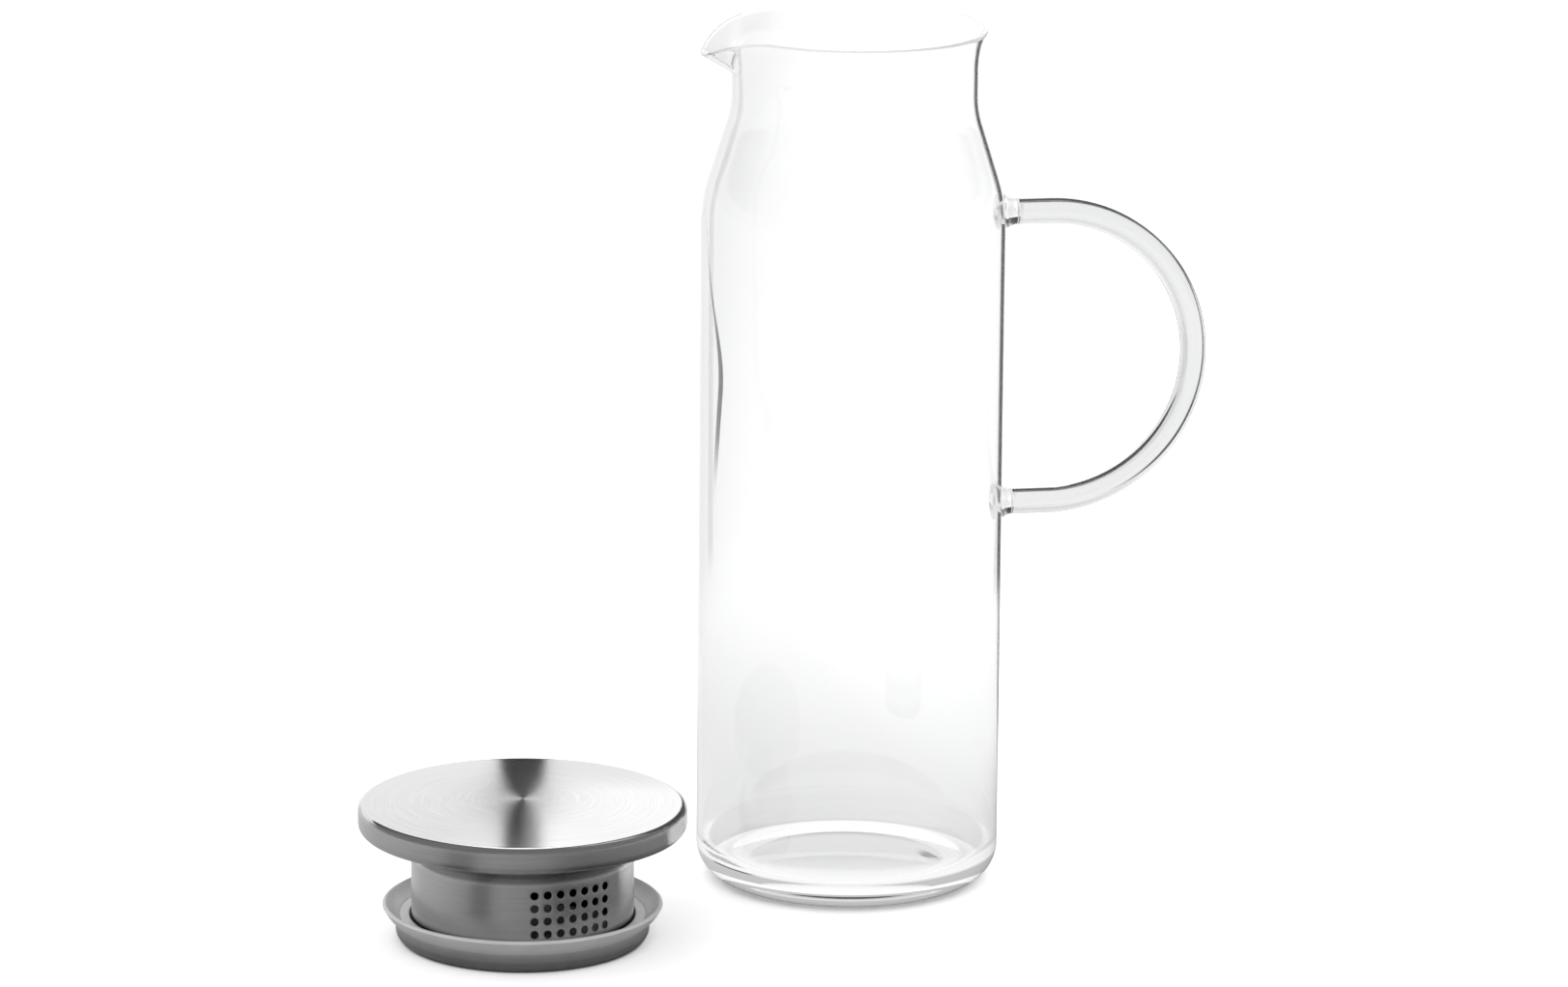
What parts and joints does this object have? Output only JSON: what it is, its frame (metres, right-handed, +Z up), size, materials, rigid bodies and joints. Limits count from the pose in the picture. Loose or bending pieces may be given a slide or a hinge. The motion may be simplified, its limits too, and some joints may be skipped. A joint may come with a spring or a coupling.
{
  "type": "water carafe",
  "caption": "Clear glass jug with a waisted neck, a pouring lip and a D-shaped glass handle; its steel strainer lid with a soft sealing ring stands beside it.",
  "frame": {"origin": "middle of the carafe's standing ring, on the table", "axes": "+Z up along the carafe's axis, +X towards the handle, -X towards the pouring lip; the lid stands on the -X, -Y side"},
  "size_m": [0.2749, 0.1508, 0.272],
  "materials": {
    "glass": "clear, fire polished",
    "brushed_steel": "circular brushed top, brushed sides",
    "silicone": "translucent, matt"
  },
  "bodies": {
    "carafe": {"vessel": "glass", "handle_tube": "glass", "handle_upper_foot": "glass", "handle_lower_foot": "glass"},
    "seal_ring": {"gasket": "silicone"},
    "lid": {"lid_cover": "brushed_steel", "lid_underplate": "brushed_steel", "lid_collar": "brushed_steel", "strainer": "brushed_steel"}
  },
  "joints": [
    {"name": "lid_lift", "type": "slide", "parent": "carafe", "child": "seal_ring", "axis": [0, 0, 1], "range_m": [0, 0.036]},
    {"name": "lid_turn", "type": "hinge", "parent": "seal_ring", "child": "lid", "pos_m": [-0.11131, -0.05281, 0], "axis": [0, 0, 1], "continuous": true}
  ]
}
